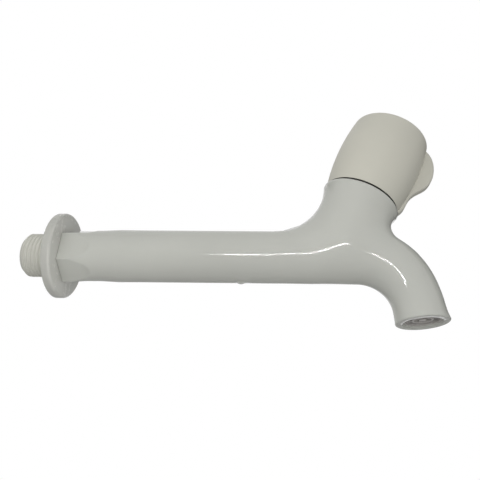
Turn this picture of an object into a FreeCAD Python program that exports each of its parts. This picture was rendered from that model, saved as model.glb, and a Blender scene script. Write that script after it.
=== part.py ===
import FreeCAD, Part
import math
import os
from FreeCAD import Placement, Rotation, Vector

# Long wall tap with a slanted quarter-turn knob. Millimetres, +Z up.
# The origin is the centre of the flange's back face, on the wall. +X points out of the wall along the tube.

# Inlet shank with its G 1/2 male thread, drawn at the thread's major diameter
THREAD_R = 20.955 / 2
SHANK_LENGTH = 15.7
SHANK_TIP_R = 8.6
SHANK_CHAMFER = 2.0
THREAD_RELIEF_R = 9.3
THREAD_RELIEF_WIDTH = 1.5
SHOULDER_R = 11.2
SHOULDER_REACH = 0.5
INLET_BORE_R = 6.8
INLET_BORE_STRAIGHT = 20.0
INLET_BORE_END_R = 6.4

# Loose wall flange on the shank
FLANGE_R = 20.44
FLANGE_THICKNESS = 4.06
FLANGE_FRONT_ROUND = 1.2
FLANGE_BACK_ROUND = 0.5
FLANGE_BORE_CLEARANCE = 0.15

# Wrench hexagon that runs out into a shallow neck
HEX_ACROSS_FLATS = 23.3
HEX_LENGTH = 5.2
HEX_TAPER_LENGTH = 8.5
FLAT_LENGTH = 10.5
FLAT_RUNOUT_R = 16.0
FLAT_RUNOUT_SWEEP = 35.0
NECK_R = 12.26
NECK_TO_TUBE = 13.5

# Tube, with the slight taper of a moulded part, and its gate mark
TUBE_WALL_END_R = 12.6
TUBE_SPOUT_END_R = 12.35
TUBE_END_X = 143.0
GATE_X = 89.0
GATE_HEIGHT = 0.6
GATE_ROUND_R = 3.2
GATE_WIDTH = 2.4

# Spout: one bend and a short straight, full at the start and narrowing to the outlet
SPOUT_ROOT_BACK = 21.0
SPOUT_SECTIONS = [(0.0, 13.2, 0.85), (25.0, 13.1, 0.75), (50.0, 12.25, 0.05)]
SPOUT_BEND_R = 26.2
SPOUT_TURN = 86.7
SPOUT_STRAIGHT = 5.8
SPOUT_END_R = 11.9
SPOUT_EDGE_ROUND = 0.6
SPOUT_BORE_R = 8.0

# Valve cup, leaning towards the spout
BRANCH_BACK = 10.5
BRANCH_TILT = 25.3
RIM_HEIGHT = 32.7
RIM_R = 19.2
RIM_EDGE = 0.2
CUP_SHOULDER_R = 17.75
CUP_SHOULDER_DROP = 4.8
CUP_WAIST_R = 16.65
CUP_WAIST_HEIGHT = 21.0
CUP_FOOT_OUTLINE = [(9.0, -8.3), (12.75, -3.0), (14.75, 1.7), (15.75, 6.0), (16.25, 11.0), (16.5, 16.0)]
WALL_SIDE_BLEND_R = 26.0
SIDE_BLEND_R = 44.0
SPOUT_SIDE_BLEND_R = 7.5

# Valve chamber inside the cup
SEAT_HEIGHT = 10.0
PORT_R = 4.8
PORT_DEPTH = 13.0
CHAMBER_R = 11.2
LEDGE_HEIGHT = 24.7
NUT_THREAD_R = 14.0
INLET_BORE_BACK = 6.0
SPOUT_BORE_BACK = 3.0
PARTITION_R = 9.0
PARTITION_DEPTH = 40.0

# Clearances, and how far a cutting tool runs past the wall it opens
SLIDE_GAP = 0.1
RUN_GAP = 0.05
SEAL_GAP = 0.02
OVERSHOOT = 1.0

# Ceramic disc cartridge
CARTRIDGE_LIFT = 0.6
CARTRIDGE_SKIRT_R = 9.0
CARTRIDGE_BORE_R = 7.6
COLLAR_HEIGHT = 19.4
COLLAR_CHAMFER = 1.0
CARTRIDGE_FLANGE_R = 13.4
CARTRIDGE_FLANGE_THICKNESS = 2.5
NECK_TOP = 37.0
NECK_TUBE_R = 9.0
O_RING_GROOVE_WIDTH = 2.2
HOUSING_GROOVE_DEPTH = 1.4
HOUSING_GROOVE_HEIGHT = 21.0
WINDOW_ANGLE = 70.0
SEAL_THICKNESS = 1.6
SEAL_INNER_R = 6.2
DISC_THICKNESS = 2.6
DISC_SECTOR_INNER_R = 1.8
DISC_SECTOR_OUTER_R = 5.6
DISC_SECTOR_ANGLE = 78.0
KEY_WIDTH = 2.2
KEY_DEPTH = 0.9
CARRIER_R = 7.3
CARRIER_HEIGHT = 5.4
CARRIER_LEG_HEIGHT = 2.2
CARRIER_LEG_ANGLE = 66.0
DOG_DEPTH = 1.4
TONGUE_WIDTH = 3.0
TONGUE_LENGTH = 10.0
TONGUE_HEIGHT = 2.0

# Spindle
SPINDLE_R = 5.0
FOOT_THICKNESS = 2.0
STOP_ANGLE = 44.0
STOP_LUG_ANGLE = 45.0
STOP_RING_R = 6.1
THRUST_THICKNESS = 0.8
STEM_GROOVE_DEPTH = 1.2
LOWER_GROOVE_LIFT = 2.9
GROOVE_SPACING = 4.0
CIRCLIP_THICKNESS = 0.8
CIRCLIP_R = 6.6
CIRCLIP_GROOVE_R = 4.2
CIRCLIP_OPENING = 50.0
SPLINE_BOTTOM = 39.2
SPINDLE_TOP = 50.0
SPLINE_R = 4.2
SPLINE_ROOT_R = 3.7
SPLINE_TEETH = 20
SPLINE_TOOTH_SHARE = 0.3
SCREW_R = 2.0
SCREW_DEPTH = 10.5

# Retaining nut
NUT_BODY_TOP = 32.2
NUT_TOP = 36.6
NUT_ACROSS_FLATS = 22.0

# Knob
KNOB_GAP = 1.35
KNOB_HEIGHT = 43.5
KNOB_FOOT_R = 18.3
KNOB_BELLY_R = 20.9
KNOB_BELLY_HEIGHT = 26.0
KNOB_CROWN_R = 19.7
KNOB_CROWN_ROUND = 1.6
KNOB_CROWN_RISE = 1.2
KNOB_WALL = 2.6
KNOB_BOSS_R = 7.2
KNOB_RIB_THICKNESS = 1.8
KNOB_RIB_BOTTOM = 12.0
SCREW_SEAT_THICKNESS = 3.0
SCREW_WELL_R = 4.6
FIN_THICKNESS = 5.0
FIN_EDGE_ROUND = 1.2
FIN_OUTLINE = [
    (19.0, 42.2), (23.4, 38.9), (26.5, 33.0), (27.5, 26.5), (26.3, 21.0),
    (23.0, 16.1), (21.0, 11.3), (20.5, 5.5), (19.0, 1.6),
]

# Handle screw, its washer and the cover cap
SCREW_HEAD_R = 3.8
SCREW_HEAD_HEIGHT = 2.6
SCREW_SLOT_DEPTH = 1.2
WASHER_THICKNESS = 0.6
WASHER_R = 4.3
CAP_R = 6.6
CAP_THICKNESS = 1.6
CAP_STEM_LENGTH = 4.0
CAP_STEM_WALL = 1.1

# Outlet insert
OUTLET_BORE_R = 8.8
STRAIGHTENER_RECESS = 1.2
STRAIGHTENER_HEIGHT = 5.0
STRAIGHTENER_RIM = 1.2
STRAIGHTENER_HUB_R = 1.5
STRAIGHTENER_RING_R = 4.6
STRAIGHTENER_VANES = 8
STRAIGHTENER_WALL = 0.8
SCREEN_THICKNESS = 0.5
SCREEN_HOLE_R = 0.95
SCREEN_PITCH = 3.1
SCREEN_RINGS = 2
WASHER_HEIGHT = 1.0
WASHER_RIM = 1.4

# Places worked out from the sizes above
HEX_CORNER_R = HEX_ACROSS_FLATS / 2 / math.cos(math.radians(30))
HEX_BACK_X = FLANGE_THICKNESS
NECK_X = HEX_BACK_X + HEX_LENGTH + HEX_TAPER_LENGTH
TUBE_START_X = NECK_X + NECK_TO_TUBE
SPOUT_ROOT_X = TUBE_END_X - SPOUT_ROOT_BACK
TUBE_TAPER = (TUBE_SPOUT_END_R - TUBE_WALL_END_R) / (TUBE_END_X - TUBE_START_X)
SPOUT_ROOT_R = TUBE_WALL_END_R + TUBE_TAPER * (SPOUT_ROOT_X - TUBE_START_X)
BRANCH_X = TUBE_END_X - BRANCH_BACK
INLET_BORE_END_X = TUBE_END_X - INLET_BORE_BACK
SPOUT_BORE_START_X = TUBE_END_X - SPOUT_BORE_BACK
BRANCH = Placement(Vector(BRANCH_X, 0, 0), Rotation(Vector(0, 1, 0), BRANCH_TILT))
TURN = math.radians(SPOUT_TURN)
BEND_END = Vector(TUBE_END_X + SPOUT_BEND_R * math.sin(TURN), 0, -SPOUT_BEND_R * (1 - math.cos(TURN)))
SPOUT_DIRECTION = Vector(math.cos(TURN), 0, -math.sin(TURN))
SPOUT_TIP = BEND_END + SPOUT_DIRECTION * SPOUT_STRAIGHT
OUTLET = Placement(SPOUT_TIP, Rotation(Vector(0, 1, 0), SPOUT_TURN - 90))
HOUSING_BOTTOM = SEAT_HEIGHT + CARTRIDGE_LIFT
FIXED_DISC_Z = SEAT_HEIGHT + SEAL_THICKNESS
MOVING_DISC_Z = FIXED_DISC_Z + DISC_THICKNESS + RUN_GAP
CARRIER_Z = MOVING_DISC_Z + DISC_THICKNESS
FOOT_Z = CARRIER_Z + CARRIER_HEIGHT
THRUST_Z = FOOT_Z + FOOT_THICKNESS + RUN_GAP
CAVITY_TOP = THRUST_Z + THRUST_THICKNESS
LOWER_GROOVE_HEIGHT = CAVITY_TOP + LOWER_GROOVE_LIFT
UPPER_GROOVE_HEIGHT = LOWER_GROOVE_HEIGHT + GROOVE_SPACING
HOUSING_GROOVE_R = CHAMBER_R - SLIDE_GAP - HOUSING_GROOVE_DEPTH
STEM_GROOVE_R = SPINDLE_R - STEM_GROOVE_DEPTH
CIRCLIP_Z = NECK_TOP + RUN_GAP
NUT_BOTTOM = LEDGE_HEIGHT + CARTRIDGE_FLANGE_THICKNESS
KNOB_BOTTOM = RIM_HEIGHT + KNOB_GAP
SCREW_SEAT_Z = SPINDLE_TOP + RUN_GAP + SCREW_SEAT_THICKNESS
KNOB_TOP = RIM_HEIGHT + KNOB_HEIGHT + KNOB_CROWN_RISE
CAP_BOTTOM = KNOB_TOP - CAP_THICKNESS - KNOB_CROWN_RISE
OUTLET_STEP = STRAIGHTENER_RECESS + STRAIGHTENER_HEIGHT + SCREEN_THICKNESS + WASHER_HEIGHT


def turned(points):
    """Solid turned about the Z axis from an outline of (radius, height) points."""
    corners = [Vector(radius, 0, height) for radius, height in points]
    face = Part.Face(Part.makePolygon(corners + corners[:1]))
    return face.revolve(Vector(0, 0, 0), Vector(0, 0, 1), 360)


def ring(inner, outer, bottom, top):
    """Plain tube or washer on the Z axis."""
    return turned([(inner, bottom), (outer, bottom), (outer, top), (inner, top)])


def rod(radius, bottom, top):
    """Cylinder on the Z axis."""
    return Part.makeCylinder(radius, top - bottom, Vector(0, 0, bottom))


def sector(inner, outer, bottom, top, middle, width):
    """Part of a ring, width degrees wide about the middle angle."""
    outline = [(inner, bottom), (outer, bottom), (outer, top), (inner, top), (inner, bottom)]
    face = Part.Face(Part.makePolygon([Vector(radius, 0, height) for radius, height in outline]))
    face.rotate(Vector(0, 0, 0), Vector(0, 0, 1), middle - width / 2)
    return face.revolve(Vector(0, 0, 0), Vector(0, 0, 1), width)


def hexagon(across_flats, bottom, top):
    """Hexagonal prism on the Z axis."""
    corner = across_flats / 2 / math.cos(math.radians(30))
    angles = [math.radians(60 * k) for k in range(7)]
    outline = Part.makePolygon([Vector(corner * math.cos(a), corner * math.sin(a), bottom) for a in angles])
    return Part.Face(outline).extrude(Vector(0, 0, top - bottom))


def block(length, width, bottom, top, turn=0.0):
    """Box centred on the Z axis."""
    box = Part.makeBox(length, width, top - bottom, Vector(-length / 2, -width / 2, bottom))
    box.rotate(Vector(0, 0, 0), Vector(0, 0, 1), turn)
    return box


def spline_bar(extra, bottom, top):
    """Toothed bar, or with some extra radius the tool for its socket."""
    points = []
    step = math.pi / SPLINE_TEETH
    for k in range(2 * SPLINE_TEETH):
        radius = (SPLINE_R if k % 2 == 0 else SPLINE_ROOT_R) + extra
        for side in (-SPLINE_TOOTH_SHARE, SPLINE_TOOTH_SHARE):
            angle = (k + side) * step
            points.append(Vector(radius * math.cos(angle), radius * math.sin(angle), bottom))
    return Part.Face(Part.makePolygon(points + points[:1])).extrude(Vector(0, 0, top - bottom))


def edges_in_plane(shape, point, normal, least_r=0.0):
    """Edges that lie in a plane, all of them at least least_r from the point."""
    found = []
    for edge in shape.Edges:
        middle = edge.valueAt((edge.FirstParameter + edge.LastParameter) / 2)
        places = [vertex.Point for vertex in edge.Vertexes] + [middle]
        flat = all(abs((place - point).dot(normal)) < 0.001 for place in places)
        if flat and all(place.distanceToPoint(point) > least_r for place in places):
            found.append(edge)
    return found


def o_ring(inner, outer, middle):
    """Round-section seal between two radii."""
    return Part.makeTorus((inner + outer) / 2, (outer - inner) / 2, Vector(0, 0, middle))


def curve(points, first, last):
    """Smooth curve through points with given end directions."""
    spline = Part.BSplineCurve()
    spline.interpolate(Points=points, InitialTangent=first, FinalTangent=last)
    return spline.toShape()


def circle_wire(centre, direction, radius):
    return Part.Wire(Part.Circle(centre, direction, radius).toShape())


def spout_path(start_x):
    """Centre line from a point on the tube round the bend to the outlet."""
    half = TURN / 2
    middle = Vector(TUBE_END_X + SPOUT_BEND_R * math.sin(half), 0, -SPOUT_BEND_R * (1 - math.cos(half)))
    bend_start = Vector(TUBE_END_X, 0, 0)
    edges = [
        Part.makeLine(Vector(start_x, 0, 0), bend_start),
        Part.Arc(bend_start, middle, BEND_END).toShape(),
        Part.makeLine(BEND_END, SPOUT_TIP),
    ]
    return Part.Wire(edges)


def tube_outer():
    """Hexagon blank, neck and tapering tube, turned about the X axis."""
    taper_start = Vector(HEX_BACK_X + HEX_LENGTH, 0, HEX_CORNER_R)
    neck = Vector(NECK_X, 0, NECK_R)
    start = Vector(TUBE_START_X, 0, TUBE_WALL_END_R)
    end = Vector(SPOUT_ROOT_X, 0, SPOUT_ROOT_R)
    lead = curve([taper_start, neck, start], Vector(1, 0, -0.2), Vector(1, 0, 0))
    edges = [
        Part.makeLine(Vector(HEX_BACK_X, 0, 0), Vector(HEX_BACK_X, 0, HEX_CORNER_R)),
        Part.makeLine(Vector(HEX_BACK_X, 0, HEX_CORNER_R), taper_start),
        lead,
        Part.makeLine(start, end),
        Part.makeLine(end, Vector(SPOUT_ROOT_X, 0, 0)),
        Part.makeLine(Vector(SPOUT_ROOT_X, 0, 0), Vector(HEX_BACK_X, 0, 0)),
    ]
    return Part.Face(Part.Wire(edges)).revolve(Vector(0, 0, 0), Vector(1, 0, 0), 360)


def hexagon_flats():
    """Six cutters, each a flat that runs out in an arc."""
    depth = HEX_ACROSS_FLATS / 2
    run_x = HEX_BACK_X + FLAT_LENGTH

    def runout(degrees):
        angle = math.radians(degrees)
        rise = FLAT_RUNOUT_R * (1 - math.cos(angle))
        return Vector(run_x + FLAT_RUNOUT_R * math.sin(angle), 0, depth + rise)

    middle = runout(FLAT_RUNOUT_SWEEP / 2)
    end = runout(FLAT_RUNOUT_SWEEP)
    back = Vector(HEX_BACK_X - OVERSHOOT, 0, depth)
    edges = [
        Part.makeLine(back, Vector(run_x, 0, depth)),
        Part.Arc(Vector(run_x, 0, depth), middle, end).toShape(),
        Part.makeLine(end, Vector(back.x, 0, end.z)),
        Part.makeLine(Vector(back.x, 0, end.z), back),
    ]
    profile = Part.Face(Part.Wire(edges))
    profile.translate(Vector(0, -HEX_CORNER_R, 0))
    cutter = profile.extrude(Vector(0, 2 * HEX_CORNER_R, 0))
    cutters = []
    for k in range(6):
        copy = cutter.copy()
        copy.rotate(Vector(0, 0, 0), Vector(1, 0, 0), 30 + 60 * k)
        cutters.append(copy)
    return cutters


def spout_section(turn, radius, lift):
    """Circle across the bend at an angle, its centre lifted towards the outside of the bend."""
    angle = math.radians(turn)
    outward = Vector(math.sin(angle), 0, math.cos(angle))
    along = Vector(math.cos(angle), 0, -math.sin(angle))
    bend_centre = Vector(TUBE_END_X, 0, -SPOUT_BEND_R)
    return circle_wire(bend_centre + outward * (SPOUT_BEND_R + lift), along, radius)


def spout_outer():
    """End of the tube and the bend, through a few sections to the outlet."""
    root = circle_wire(Vector(SPOUT_ROOT_X, 0, 0), Vector(1, 0, 0), SPOUT_ROOT_R)
    tip = circle_wire(SPOUT_TIP, SPOUT_DIRECTION, SPOUT_END_R)
    middle = [spout_section(turn, radius, lift) for turn, radius, lift in SPOUT_SECTIONS]
    return spout_path(SPOUT_ROOT_X).makePipeShell([root] + middle + [tip], True, True)


def cup_outer():
    """Flared valve cup, turned about the branch axis."""
    points = [Vector(radius, 0, height) for radius, height in CUP_FOOT_OUTLINE]
    points.append(Vector(CUP_WAIST_R, 0, CUP_WAIST_HEIGHT))
    points.append(Vector(CUP_SHOULDER_R, 0, RIM_HEIGHT - CUP_SHOULDER_DROP))
    points.append(Vector(RIM_R, 0, RIM_HEIGHT - RIM_EDGE))
    root = points[0]
    rim = points[-1]
    lip = Vector(RIM_R - RIM_EDGE, 0, RIM_HEIGHT)
    side = Part.BSplineCurve()
    side.interpolate(points)
    edges = [
        Part.makeLine(Vector(0, 0, root.z), root),
        side.toShape(),
        Part.makeLine(rim, lip),
        Part.makeLine(lip, Vector(0, 0, RIM_HEIGHT)),
        Part.makeLine(Vector(0, 0, RIM_HEIGHT), Vector(0, 0, root.z)),
    ]
    cup = Part.Face(Part.Wire(edges)).revolve(Vector(0, 0, 0), Vector(0, 0, 1), 360)
    cup.Placement = BRANCH
    return cup


def blended(solid, cup, pipes):
    """Rounds the crease between cup and pipes, wide along the flanks and tight on the spout side."""
    document = FreeCAD.newDocument("blend")
    base = document.addObject("Part::Feature", "base")
    base.Shape = solid
    crease = []
    for number, edge in enumerate(solid.Edges, 1):
        middle = Part.Vertex(edge.valueAt((edge.FirstParameter + edge.LastParameter) / 2))
        on_cup = middle.distToShape(cup.Shells[0])[0] < 0.001
        on_pipe = min(middle.distToShape(pipe.Shells[0])[0] for pipe in pipes) < 0.001
        if on_cup and on_pipe:
            crease.append((number, edge.Vertexes[0].X, edge.Vertexes[-1].X))
    first_x = min(min(a, b) for _, a, b in crease)
    last_x = max(max(a, b) for _, a, b in crease)

    def radius(x):
        if x < TUBE_END_X:
            share = (x - first_x) / (TUBE_END_X - first_x)
            return WALL_SIDE_BLEND_R + (SIDE_BLEND_R - WALL_SIDE_BLEND_R) * share
        share = (x - TUBE_END_X) / (last_x - TUBE_END_X)
        return SIDE_BLEND_R + (SPOUT_SIDE_BLEND_R - SIDE_BLEND_R) * share

    fillet = document.addObject("Part::Fillet", "crease")
    fillet.Base = base
    fillet.Edges = [(number, radius(a), radius(b)) for number, a, b in crease]
    document.recompute()
    shape = fillet.Shape.copy()
    FreeCAD.closeDocument(document.Name)
    return shape.Solids[0]


def inlet_shank():
    """Inlet stub: lead-in cone, thread at major diameter, relief groove and the flange's shoulder."""
    thread_end = -SHOULDER_REACH - THREAD_RELIEF_WIDTH
    outline = [
        (0, -SHANK_LENGTH), (SHANK_TIP_R, -SHANK_LENGTH), (THREAD_R, SHANK_CHAMFER - SHANK_LENGTH),
        (THREAD_R, thread_end), (THREAD_RELIEF_R, thread_end), (THREAD_RELIEF_R, -SHOULDER_REACH),
        (SHOULDER_R, -SHOULDER_REACH), (SHOULDER_R, HEX_BACK_X + OVERSHOOT), (0, HEX_BACK_X + OVERSHOOT),
    ]
    shank = turned(outline)
    shank.rotate(Vector(0, 0, 0), Vector(0, 1, 0), 90)
    return shank


def gate_mark():
    """Half-moon left by the moulding gate under the tube."""
    start = Vector(GATE_X, -GATE_WIDTH / 2, GATE_ROUND_R - TUBE_WALL_END_R - GATE_HEIGHT)
    return Part.makeCylinder(GATE_ROUND_R, GATE_WIDTH, start, Vector(0, 1, 0))


def body_waterways():
    """Inlet bore, seat port, valve chamber and spout passage, as cutting tools."""
    outward = Vector(1, 0, 0)
    taper_x = INLET_BORE_STRAIGHT - SHANK_LENGTH
    mouth = Part.makeCylinder(INLET_BORE_R, INLET_BORE_STRAIGHT, Vector(-SHANK_LENGTH, 0, 0), outward)
    taper_length = INLET_BORE_END_X - taper_x
    taper = Part.makeCone(INLET_BORE_R, INLET_BORE_END_R, taper_length, Vector(taper_x, 0, 0), outward)
    inlet = mouth.fuse(taper)
    port = rod(PORT_R, SEAT_HEIGHT - PORT_DEPTH, SEAT_HEIGHT + OVERSHOOT)
    chamber = rod(CHAMBER_R, SEAT_HEIGHT, RIM_HEIGHT)
    nut_seat = rod(NUT_THREAD_R, LEDGE_HEIGHT, RIM_HEIGHT + OVERSHOOT)
    cup_tool = port.fuse([chamber, nut_seat])
    cup_tool.Placement = BRANCH
    start = circle_wire(Vector(SPOUT_BORE_START_X, 0, 0), Vector(1, 0, 0), SPOUT_BORE_R)
    passage = spout_path(SPOUT_BORE_START_X).makePipeShell([start], True, True)
    partition = rod(PARTITION_R, SEAT_HEIGHT - PARTITION_DEPTH, SEAT_HEIGHT)
    partition.Placement = BRANCH
    passage = passage.cut(partition)
    outlet = rod(OUTLET_BORE_R, -OVERSHOOT, OUTLET_STEP)
    outlet.Placement = OUTLET
    return [inlet, cup_tool, passage, outlet]


def tap_body():
    """The one-piece moulding: shank, hexagon, tube, spout and valve cup."""
    tube = tube_outer()
    spout = spout_outer()
    cup = cup_outer()
    outer = blended(tube.fuse([spout, cup]), cup, [tube, spout])
    outer = outer.makeFillet(SPOUT_EDGE_ROUND, edges_in_plane(outer, SPOUT_TIP, SPOUT_DIRECTION))
    outer = outer.cut(hexagon_flats())
    outer = outer.fuse([inlet_shank(), gate_mark()])
    for tool in body_waterways():
        outer = outer.cut(tool)
    return outer


def wall_flange():
    """Round cover plate that slips over the shank and rests against the hexagon."""
    bore = SHOULDER_R + FLANGE_BORE_CLEARANCE
    plate = ring(bore, FLANGE_R, 0, FLANGE_THICKNESS)
    for height, radius in ((FLANGE_THICKNESS, FLANGE_FRONT_ROUND), (0, FLANGE_BACK_ROUND)):
        rim = edges_in_plane(plate, Vector(0, 0, height), Vector(0, 0, 1), (bore + FLANGE_R) / 2)
        plate = plate.makeFillet(radius, rim)
    plate.rotate(Vector(0, 0, 0), Vector(0, 1, 0), 90)
    return plate


def base_seal():
    return ring(SEAL_INNER_R, CARTRIDGE_BORE_R - SLIDE_GAP, SEAT_HEIGHT, FIXED_DISC_Z)


def ported_disc(radius, bottom, ports_at):
    """Ceramic disc with two opposite sector ports."""
    disc = rod(radius, bottom, bottom + DISC_THICKNESS)
    low = bottom - OVERSHOOT
    high = bottom + DISC_THICKNESS + OVERSHOOT
    for angle in (ports_at, ports_at + 180):
        port = sector(DISC_SECTOR_INNER_R, DISC_SECTOR_OUTER_R, low, high, angle, DISC_SECTOR_ANGLE)
        disc = disc.cut(port)
    return disc


def fixed_disc():
    """Lower disc, held against turning by two keys of the housing."""
    radius = CARTRIDGE_BORE_R - SLIDE_GAP
    disc = ported_disc(radius, FIXED_DISC_Z, 0)
    width = KEY_WIDTH + 2 * SLIDE_GAP
    length = 2 * (KEY_DEPTH + SLIDE_GAP)
    for side in (-1, 1):
        notch = block(width, length, FIXED_DISC_Z - OVERSHOOT, MOVING_DISC_Z)
        notch.translate(Vector(0, side * CARTRIDGE_BORE_R, 0))
        disc = disc.cut(notch)
    return disc


def moving_disc():
    """Upper disc, closed with its ports a quarter turn away, notched for the carrier's dogs."""
    disc = ported_disc(CARRIER_R, MOVING_DISC_Z, 90)
    length = 2 * (DOG_DEPTH + 2 * SLIDE_GAP)
    notch_bottom = CARRIER_Z - DOG_DEPTH - SLIDE_GAP
    for side in (-1, 1):
        notch = block(length, KEY_WIDTH + 2 * SLIDE_GAP, notch_bottom, CARRIER_Z + OVERSHOOT)
        notch.translate(Vector(side * CARRIER_R, 0, 0))
        disc = disc.cut(notch)
    return disc


def disc_carrier():
    """Driver between spindle and moving disc, open at its sides for the water."""
    plate = rod(CARRIER_R, CARRIER_Z + CARRIER_LEG_HEIGHT, FOOT_Z)
    slot_bottom = FOOT_Z - TONGUE_HEIGHT - SLIDE_GAP
    slot = block(TONGUE_LENGTH + 2 * SLIDE_GAP, TONGUE_WIDTH + 2 * SLIDE_GAP, slot_bottom, FOOT_Z + OVERSHOOT)
    carrier = plate.cut(slot)
    for angle in (0, 180):
        leg = sector(DISC_SECTOR_OUTER_R, CARRIER_R, CARRIER_Z, slot_bottom, angle, CARRIER_LEG_ANGLE)
        dog = block(DOG_DEPTH, KEY_WIDTH, CARRIER_Z - DOG_DEPTH, CARRIER_Z + CARRIER_LEG_HEIGHT)
        dog.translate(Vector(CARRIER_R - DOG_DEPTH / 2 - SLIDE_GAP, 0, 0))
        dog.rotate(Vector(0, 0, 0), Vector(0, 0, 1), angle)
        carrier = carrier.fuse([leg, dog])
    return carrier


def cartridge_housing():
    """Bonnet of the cartridge: skirt with side windows, sealing collar, clamped flange and neck."""
    stem_r = SPINDLE_R + RUN_GAP
    collar_r = CHAMBER_R - SLIDE_GAP
    groove_top = HOUSING_GROOVE_HEIGHT + O_RING_GROOVE_WIDTH
    outline = [
        (stem_r, CAVITY_TOP), (CARTRIDGE_BORE_R, CAVITY_TOP), (CARTRIDGE_BORE_R, HOUSING_BOTTOM),
        (CARTRIDGE_SKIRT_R, HOUSING_BOTTOM), (CARTRIDGE_SKIRT_R, COLLAR_HEIGHT),
        (collar_r, COLLAR_HEIGHT + COLLAR_CHAMFER), (collar_r, HOUSING_GROOVE_HEIGHT),
        (HOUSING_GROOVE_R, HOUSING_GROOVE_HEIGHT), (HOUSING_GROOVE_R, groove_top), (collar_r, groove_top),
        (collar_r, LEDGE_HEIGHT), (CARTRIDGE_FLANGE_R, LEDGE_HEIGHT), (CARTRIDGE_FLANGE_R, NUT_BOTTOM),
        (NECK_TUBE_R, NUT_BOTTOM), (NECK_TUBE_R, NECK_TOP), (stem_r, NECK_TOP),
    ]
    housing = turned(outline)
    for angle in (0, 180):
        window = sector(CARTRIDGE_BORE_R - OVERSHOOT, CARTRIDGE_SKIRT_R + OVERSHOOT, CARRIER_Z,
                        CARRIER_Z + CARRIER_LEG_HEIGHT, angle, WINDOW_ANGLE)
        housing = housing.cut(window)
    for angle in (-45, 135):
        lug = sector(STOP_RING_R + SLIDE_GAP, CARTRIDGE_SKIRT_R, FOOT_Z + SLIDE_GAP, THRUST_Z - 2 * RUN_GAP,
                     angle, STOP_LUG_ANGLE)
        housing = housing.fuse(lug)
    for side in (-1, 1):
        key = block(KEY_WIDTH, 2 * KEY_DEPTH, FIXED_DISC_Z, FIXED_DISC_Z + DISC_THICKNESS - SLIDE_GAP)
        key.translate(Vector(0, side * CARTRIDGE_BORE_R, 0))
        housing = housing.fuse(key)
    return housing


def housing_o_ring():
    middle = HOUSING_GROOVE_HEIGHT + O_RING_GROOVE_WIDTH / 2
    return o_ring(HOUSING_GROOVE_R + SEAL_GAP, CHAMBER_R - SEAL_GAP, middle)


def thrust_washer():
    return ring(SPINDLE_R + SLIDE_GAP, CARTRIDGE_BORE_R - SLIDE_GAP, THRUST_Z, CAVITY_TOP)


def spindle():
    """Stem with a stop foot and drive tongue below, two seal grooves, a clip groove and a splined end."""
    half = O_RING_GROOVE_WIDTH / 2
    outline = [(0, FOOT_Z), (STOP_RING_R, FOOT_Z), (STOP_RING_R, FOOT_Z + FOOT_THICKNESS),
               (SPINDLE_R, FOOT_Z + FOOT_THICKNESS)]
    for middle in (LOWER_GROOVE_HEIGHT, UPPER_GROOVE_HEIGHT):
        outline += [(SPINDLE_R, middle - half), (STEM_GROOVE_R, middle - half),
                    (STEM_GROOVE_R, middle + half), (SPINDLE_R, middle + half)]
    clip_top = CIRCLIP_Z + CIRCLIP_THICKNESS + RUN_GAP
    outline += [(SPINDLE_R, CIRCLIP_Z), (CIRCLIP_GROOVE_R, CIRCLIP_Z), (CIRCLIP_GROOVE_R, clip_top),
                (SPINDLE_R, clip_top), (SPINDLE_R, SPLINE_BOTTOM), (0, SPLINE_BOTTOM)]
    stem = turned(outline)
    tongue = block(TONGUE_LENGTH, TONGUE_WIDTH, FOOT_Z - TONGUE_HEIGHT, FOOT_Z + OVERSHOOT)
    foot_top = FOOT_Z + FOOT_THICKNESS
    ears = [sector(STOP_RING_R - OVERSHOOT, CARRIER_R - SLIDE_GAP, FOOT_Z, foot_top, angle, STOP_ANGLE)
            for angle in (0, 180)]
    stem = stem.fuse([tongue, spline_bar(0, SPLINE_BOTTOM, SPINDLE_TOP)] + ears)
    return stem.cut(rod(SCREW_R, SPINDLE_TOP - SCREW_DEPTH - OVERSHOOT, SPINDLE_TOP + OVERSHOOT))


def spindle_o_ring(middle):
    return o_ring(STEM_GROOVE_R + SEAL_GAP, SPINDLE_R + RUN_GAP - SEAL_GAP, middle)


def spindle_circlip():
    """Open spring ring that keeps the spindle from sinking into the housing."""
    top = CIRCLIP_Z + CIRCLIP_THICKNESS
    clip = ring(CIRCLIP_GROOVE_R + SEAL_GAP, CIRCLIP_R, CIRCLIP_Z, top)
    inner = CIRCLIP_GROOVE_R - OVERSHOOT
    outer = CIRCLIP_R + OVERSHOOT
    mouth = sector(inner, outer, CIRCLIP_Z - OVERSHOOT, top + OVERSHOOT, 90, CIRCLIP_OPENING)
    return clip.cut(mouth)


def retaining_nut():
    """Threaded ring that clamps the housing's flange, with a hexagon for the wrench."""
    threaded = rod(NUT_THREAD_R - SLIDE_GAP, NUT_BOTTOM, NUT_BODY_TOP)
    drive = hexagon(NUT_ACROSS_FLATS, NUT_BODY_TOP, NUT_TOP)
    hole = rod(NECK_TUBE_R + SLIDE_GAP, NUT_BOTTOM - OVERSHOOT, NUT_TOP + OVERSHOOT)
    return threaded.fuse(drive).cut(hole)


def knob_side(inset, bottom, top):
    """Barrel-shaped side line of the knob, moved in by inset, as an arc in the XZ plane."""
    foot = Vector(KNOB_FOOT_R - inset, 0, bottom)
    belly = Vector(KNOB_BELLY_R - inset, 0, RIM_HEIGHT + KNOB_BELLY_HEIGHT)
    crown = Vector(KNOB_CROWN_R - inset, 0, top)
    return Part.Arc(foot, belly, crown).toShape(), foot, crown


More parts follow.
